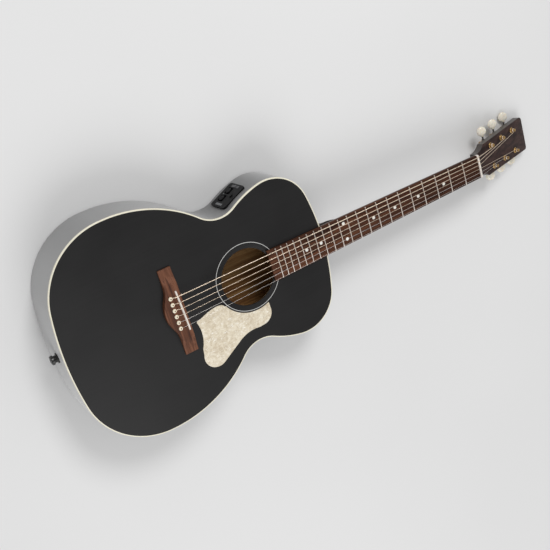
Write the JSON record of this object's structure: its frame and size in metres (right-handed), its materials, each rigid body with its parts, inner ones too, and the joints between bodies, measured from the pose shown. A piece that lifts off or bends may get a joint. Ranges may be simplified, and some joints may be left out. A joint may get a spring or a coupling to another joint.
{
  "type": "acoustic guitar",
  "caption": "Concert-size acoustic guitar with edge binding, pickguard, pinned bridge, side preamp and a slanted-back headstock with geared tuners.",
  "frame": {"origin": "middle of the bounding box in X and Y, at the height of the lowest edge of the back", "axes": "+Z out of the soundboard, +Y from the tail to the headstock, +X to the treble side; the guitar lies on its back"},
  "size_m": [0.3762, 1.0148, 0.1126],
  "materials": {
    "black_finish": "satin black finish over fine spruce grain",
    "side_finish": "satin grey black finish over wood",
    "cream_binding": "cream",
    "ring_inlay": "pale grey",
    "inner_wood": "bare wood",
    "block_wood": "bare wood",
    "pearl_guard": "cream pearl pattern",
    "rosewood": "oiled, striped grain",
    "bone": "ivory white",
    "pin_cream": "cream",
    "neck_wood": "satin dark brown finish",
    "head_wood": "satin dark brown finish",
    "fret_metal": "nickel silver",
    "dot_inlay": "white",
    "steel": "plain",
    "tuner_brass": "antique gold",
    "shaft_metal": "dark",
    "jack_black": "satin black",
    "preamp_black": "black",
    "preamp_inner": "black",
    "display_grey": "smoked window",
    "knob_black": "black",
    "tray_grey": "dark grey",
    "plain_string": "bright steel",
    "wound_string": "bronze winding"
  },
  "bodies": {
    "body": {"soundboard": "black_finish", "back_plate": "side_finish", "bass_side": "side_finish", "treble_side": "side_finish", "top_binding": "cream_binding", "rosette": "ring_inlay", "linings": "inner_wood", "neck_block": "block_wood", "tail_block": "block_wood", "top_braces": "inner_wood", "bridge_plate": "block_wood", "back_braces": "inner_wood", "pickguard": "pearl_guard", "bridge": "rosewood", "saddle": "bone", "bridge_pins": "pin_cream", "neck": "neck_wood", "headstock_veneer": "head_wood", "fretboard": "rosewood", "frets": "fret_metal", "inlays": "dot_inlay", "nut": "bone", "truss_rod": "steel", "neck_bolts": "steel", "tuner_plates": "tuner_brass", "tuner_bushings": "tuner_brass", "tuner_screws": "tuner_brass", "endpin_jack": "jack_black", "endpin_nut": "steel", "preamp_bezel": "preamp_black", "preamp_housing": "preamp_inner", "preamp_display": "display_grey", "string_1": "plain_string", "string_2": "plain_string", "string_3": "wound_string", "string_4": "wound_string", "string_5": "wound_string", "string_6": "wound_string"},
    "key_1": {"tuner_1_worm": "shaft_metal", "tuner_1_button": "pin_cream"},
    "post_1": {"tuner_1_post": "tuner_brass"},
    "key_2": {"tuner_2_worm": "shaft_metal", "tuner_2_button": "pin_cream"},
    "post_2": {"tuner_2_post": "tuner_brass"},
    "key_3": {"tuner_3_worm": "shaft_metal", "tuner_3_button": "pin_cream"},
    "post_3": {"tuner_3_post": "tuner_brass"},
    "key_4": {"tuner_4_worm": "shaft_metal", "tuner_4_button": "pin_cream"},
    "post_4": {"tuner_4_post": "tuner_brass"},
    "key_5": {"tuner_5_worm": "shaft_metal", "tuner_5_button": "pin_cream"},
    "post_5": {"tuner_5_post": "tuner_brass"},
    "key_6": {"tuner_6_worm": "shaft_metal", "tuner_6_button": "pin_cream"},
    "post_6": {"tuner_6_post": "tuner_brass"},
    "volume_knob": {"volume_knob": "knob_black"},
    "tone_knob": {"tone_knob": "knob_black"},
    "push_button": {"push_button": "knob_black"},
    "battery_tray": {"battery_tray": "tray_grey"}
  },
  "joints": [
    {"name": "key_1_turn", "type": "hinge", "parent": "body", "child": "key_1", "pos_m": [0.0206, 0.39675, 0.06064], "axis": [1, 0, 0], "continuous": true},
    {"name": "post_1_turn", "type": "hinge", "parent": "body", "child": "post_1", "pos_m": [0.0206, 0.38629, 0.06404], "axis": [0, 0.309, 0.9511], "continuous": true},
    {"name": "key_2_turn", "type": "hinge", "parent": "body", "child": "key_2", "pos_m": [0.0206, 0.4346, 0.04835], "axis": [1, 0, 0], "continuous": true},
    {"name": "post_2_turn", "type": "hinge", "parent": "body", "child": "post_2", "pos_m": [0.0206, 0.42414, 0.05174], "axis": [0, 0.309, 0.9511], "continuous": true},
    {"name": "key_3_turn", "type": "hinge", "parent": "body", "child": "key_3", "pos_m": [0.0206, 0.47246, 0.03605], "axis": [1, 0, 0], "continuous": true},
    {"name": "post_3_turn", "type": "hinge", "parent": "body", "child": "post_3", "pos_m": [0.0206, 0.46199, 0.03945], "axis": [0, 0.309, 0.9511], "continuous": true},
    {"name": "key_4_turn", "type": "hinge", "parent": "body", "child": "key_4", "pos_m": [-0.0206, 0.47246, 0.03605], "axis": [-1, 0, 0], "continuous": true},
    {"name": "post_4_turn", "type": "hinge", "parent": "body", "child": "post_4", "pos_m": [-0.0206, 0.46199, 0.03945], "axis": [0, 0.309, 0.9511], "continuous": true},
    {"name": "key_5_turn", "type": "hinge", "parent": "body", "child": "key_5", "pos_m": [-0.0206, 0.4346, 0.04835], "axis": [-1, 0, 0], "continuous": true},
    {"name": "post_5_turn", "type": "hinge", "parent": "body", "child": "post_5", "pos_m": [-0.0206, 0.42414, 0.05174], "axis": [0, 0.309, 0.9511], "continuous": true},
    {"name": "key_6_turn", "type": "hinge", "parent": "body", "child": "key_6", "pos_m": [-0.0206, 0.39675, 0.06064], "axis": [-1, 0, 0], "continuous": true},
    {"name": "post_6_turn", "type": "hinge", "parent": "body", "child": "post_6", "pos_m": [-0.0206, 0.38629, 0.06404], "axis": [0, 0.309, 0.9511], "continuous": true},
    {"name": "volume_knob_turn", "type": "hinge", "parent": "body", "child": "volume_knob", "pos_m": [-0.1252, -0.14289, 0.0481], "axis": [-0.9164, -0.4003, 0], "range_deg": [-140, 140]},
    {"name": "tone_knob_turn", "type": "hinge", "parent": "body", "child": "tone_knob", "pos_m": [-0.132, -0.12731, 0.0481], "axis": [-0.9164, -0.4003, 0], "range_deg": [-140, 140]},
    {"name": "push_button_press", "type": "slide", "parent": "body", "child": "push_button", "axis": [-0.9164, -0.4003, 0], "range_m": [-0.0015, 0], "stiffness_N_per_m": 400},
    {"name": "battery_tray_slide", "type": "slide", "parent": "body", "child": "battery_tray", "axis": [-0.9164, -0.4003, 0], "range_m": [0, 0.024]}
  ],
  "couplings": [
    {"joint": "post_1_turn", "follows": "key_1_turn", "ratio": 0.066667},
    {"joint": "post_2_turn", "follows": "key_2_turn", "ratio": 0.066667},
    {"joint": "post_3_turn", "follows": "key_3_turn", "ratio": 0.066667},
    {"joint": "post_4_turn", "follows": "key_4_turn", "ratio": -0.066667},
    {"joint": "post_5_turn", "follows": "key_5_turn", "ratio": -0.066667},
    {"joint": "post_6_turn", "follows": "key_6_turn", "ratio": -0.066667}
  ]
}
